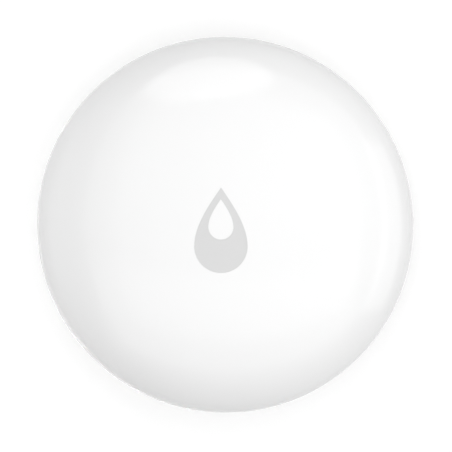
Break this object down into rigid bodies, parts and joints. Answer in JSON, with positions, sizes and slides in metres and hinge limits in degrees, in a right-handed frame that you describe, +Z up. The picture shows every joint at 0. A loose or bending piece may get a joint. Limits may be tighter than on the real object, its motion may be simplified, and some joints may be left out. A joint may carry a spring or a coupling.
{
  "type": "water leak sensor",
  "caption": "Round sealed puck that lies on the floor and senses water between two metal probes; its domed cover is the button.",
  "frame": {"origin": "on the floor under the middle of the puck", "axes": "+Z up along the axis of the dome, +Y towards the tip of the drop mark, +X towards the right probe"},
  "size_m": [0.05, 0.05, 0.015],
  "materials": {
    "cover_plastic": "moulded, glossy white",
    "mark_print": "pad-printed light grey under a satin lacquer",
    "base_plastic": "moulded, fine matt texture",
    "lid_plastic": "moulded, satin",
    "seal_rubber": "moulded silicone, dark grey",
    "probe_steel": "turned stainless steel",
    "insert_brass": "knurled brass",
    "spring_steel": "drawn spring wire",
    "board_laminate": "green solder mask on glass-fibre laminate",
    "board_copper": "gilded copper",
    "screw_steel": "zinc-plated steel",
    "switch_plastic": "black moulded nylon",
    "switch_steel": "tinned steel sheet",
    "chip_resin": "black moulding resin",
    "crystal_ceramic": "brown ceramic",
    "crystal_steel": "plated steel can",
    "led_body": "white resin",
    "led_resin": "clear resin",
    "capacitor_ceramic": "tan ceramic",
    "resistor_body": "black glaze on ceramic",
    "contact_steel": "nickel-plated spring sheet",
    "cell_steel": "nickel-plated steel",
    "cell_plastic": "moulded polypropylene",
    "cell_powder": "pressed manganese dioxide",
    "cell_paper": "porous separator",
    "cell_lithium": "rolled lithium"
  },
  "bodies": {
    "base": {"base_housing": "base_plastic", "antenna_trace": "board_copper", "board_pads": "board_copper", "board_screws": "screw_steel", "capacitors": "capacitor_ceramic", "circuit_board": "board_laminate", "cover_seal": "seal_rubber", "crystal_base": "crystal_ceramic", "crystal_can": "crystal_steel", "negative_contact": "contact_steel", "positive_contact": "contact_steel", "probe_insert_left": "insert_brass", "probe_insert_right": "insert_brass", "probe_left": "probe_steel", "probe_right": "probe_steel", "probe_seal_left": "seal_rubber", "probe_seal_right": "seal_rubber", "probe_spring_left": "spring_steel", "probe_spring_right": "spring_steel", "radio_chip": "chip_resin", "resistors": "resistor_body", "status_led": "led_body", "status_led_lens": "led_resin", "switch_base": "switch_plastic", "switch_dome": "switch_steel", "switch_frame": "switch_steel", "switch_leads": "switch_steel"},
    "cover": {"top_cover": "cover_plastic", "drop_mark": "mark_print"},
    "plunger": {"switch_plunger": "switch_plastic"},
    "cell": {"cell_anode": "cell_lithium", "cell_can": "cell_steel", "cell_cap": "cell_steel", "cell_cathode": "cell_powder", "cell_gasket": "cell_plastic", "cell_separator": "cell_paper"},
    "lid": {"battery_cover": "lid_plastic", "battery_cover_seal": "seal_rubber"}
  },
  "joints": [
    {"name": "cover_press", "type": "slide", "parent": "base", "child": "cover", "axis": [0, 0, -1], "range_m": [0, 0.0003], "stiffness_N_per_m": 7000},
    {"name": "plunger_press", "type": "slide", "parent": "base", "child": "plunger", "axis": [0, 0, -1], "range_m": [0, 0.0003], "deforming": ["switch_dome"]},
    {"name": "cell_drop", "type": "slide", "parent": "base", "child": "cell", "axis": [0, 0, -1], "range_m": [0, 0.00675]},
    {"name": "lid_turn", "type": "hinge", "parent": "cell", "child": "lid", "pos_m": [0, 0, 0.0009], "axis": [0, 0, -1], "range_deg": [0, 135]}
  ],
  "couplings": [
    {"joint": "plunger_press", "follows": "cover_press", "ratio": 1},
    {"joint": "cell_drop", "follows": "lid_turn", "m_per_rad": 0.0028648}
  ]
}
